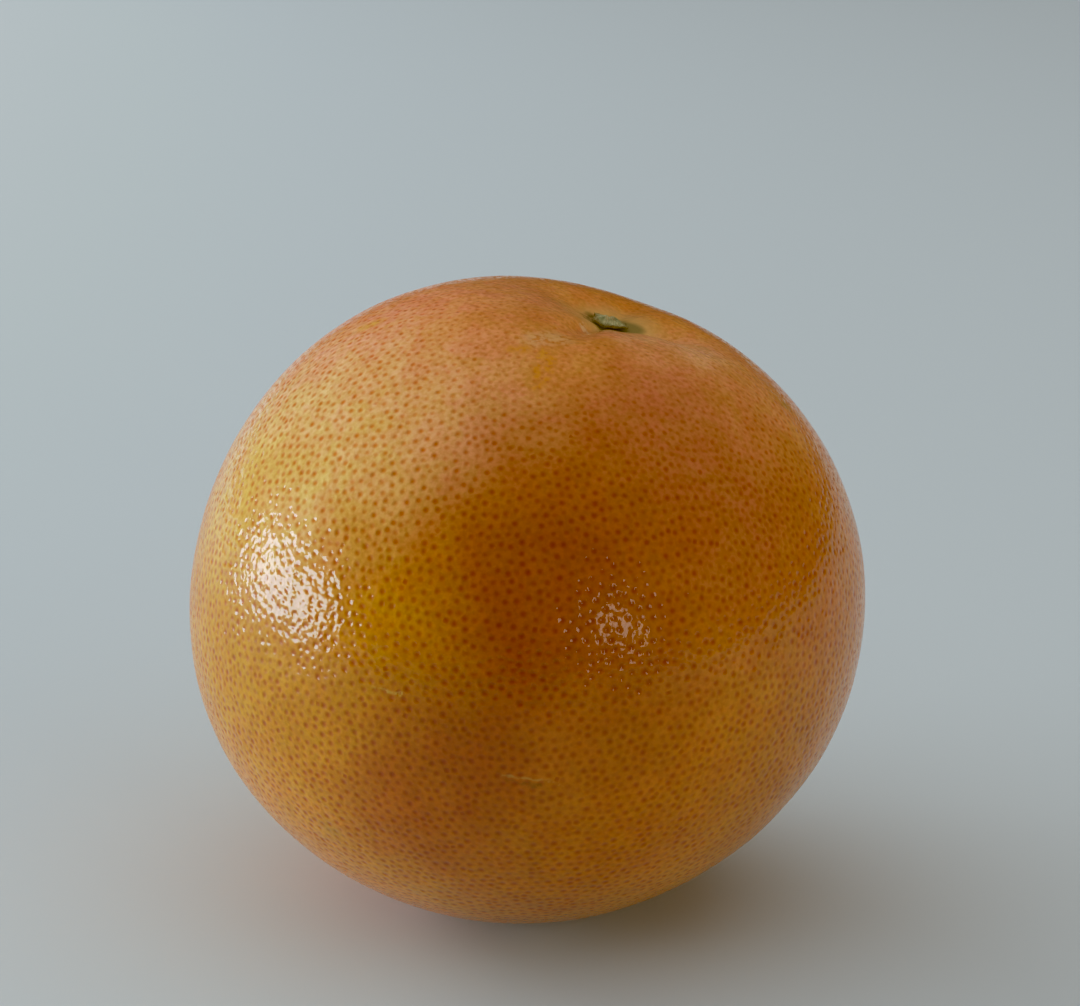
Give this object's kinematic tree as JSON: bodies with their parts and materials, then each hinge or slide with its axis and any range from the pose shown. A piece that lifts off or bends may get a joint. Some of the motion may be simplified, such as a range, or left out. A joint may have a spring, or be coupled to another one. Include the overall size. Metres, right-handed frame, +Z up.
{
  "type": "grapefruit",
  "caption": "Whole ripe grapefruit with pitted rind and a dry stalk button, lying on a small flat spot.",
  "frame": {"origin": "centre of the small flat spot that the fruit rests on", "axes": "+Z up, -Z out of the resting spot; the stalk end leans about 16 degrees from +Z towards +X"},
  "size_m": [0.1043, 0.1044, 0.0975],
  "materials": {
    "rind": "waxy pitted citrus rind, golden orange with coral blush",
    "stalk_button": "dry grey-green calyx with a pale woody scar"
  },
  "bodies": {
    "root": {"fruit": "rind", "stalk_button": "stalk_button"}
  },
  "joints": []
}
